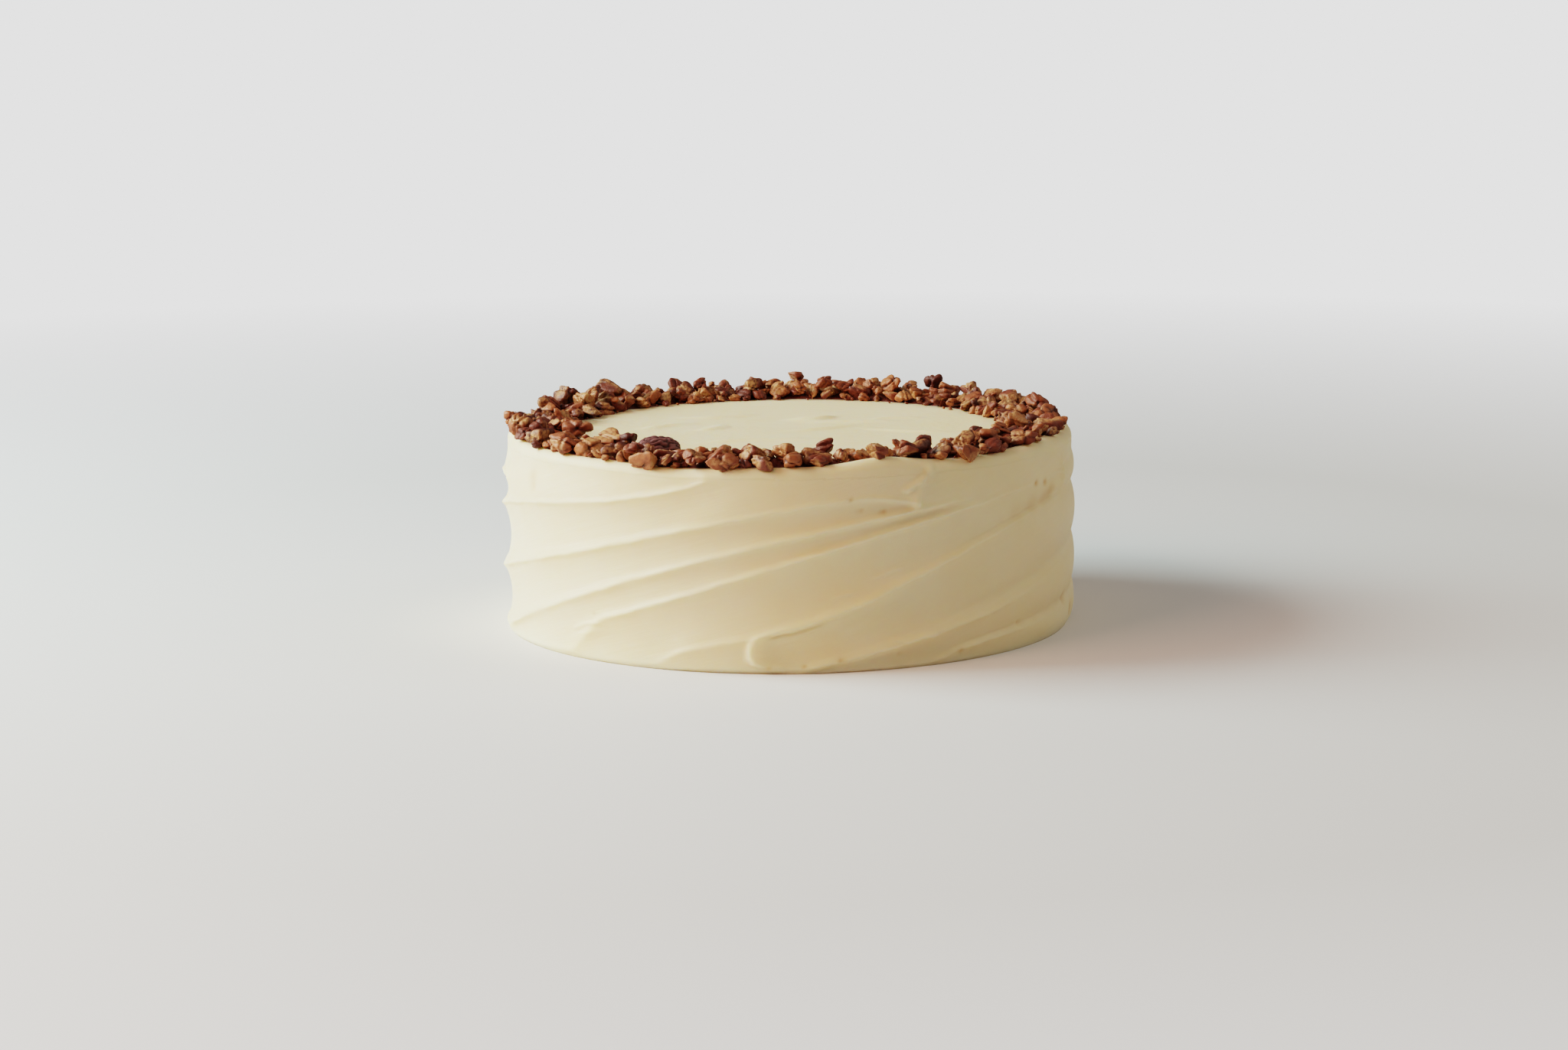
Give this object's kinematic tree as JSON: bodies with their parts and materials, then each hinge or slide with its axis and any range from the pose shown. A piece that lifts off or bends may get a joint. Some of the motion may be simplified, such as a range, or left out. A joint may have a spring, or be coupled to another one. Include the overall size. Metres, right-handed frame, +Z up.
{
  "type": "hummingbird cake",
  "caption": "Uncut round cake under cream icing, with knife strokes climbing its side and a ring of broken pecans round its flat top.",
  "frame": {"origin": "centre of the cake's flat foot, on the surface it stands on", "axes": "+Z up, through the middle of the round; -Y towards the front, the side with the whole pecan half at its left; +X to the right of it"},
  "size_m": [0.2421, 0.2412, 0.0934],
  "materials": {
    "cream_icing": "soft cream icing, satin, spread with a palette knife",
    "broken_pecan": "toasted pecan pieces, red-brown skin with tan breaks",
    "whole_pecan": "dark wrinkled pecan skin, satin"
  },
  "bodies": {
    "root": {"iced_cake": "cream_icing", "pecan_ring": "broken_pecan", "pecan_half": "whole_pecan"}
  },
  "joints": []
}
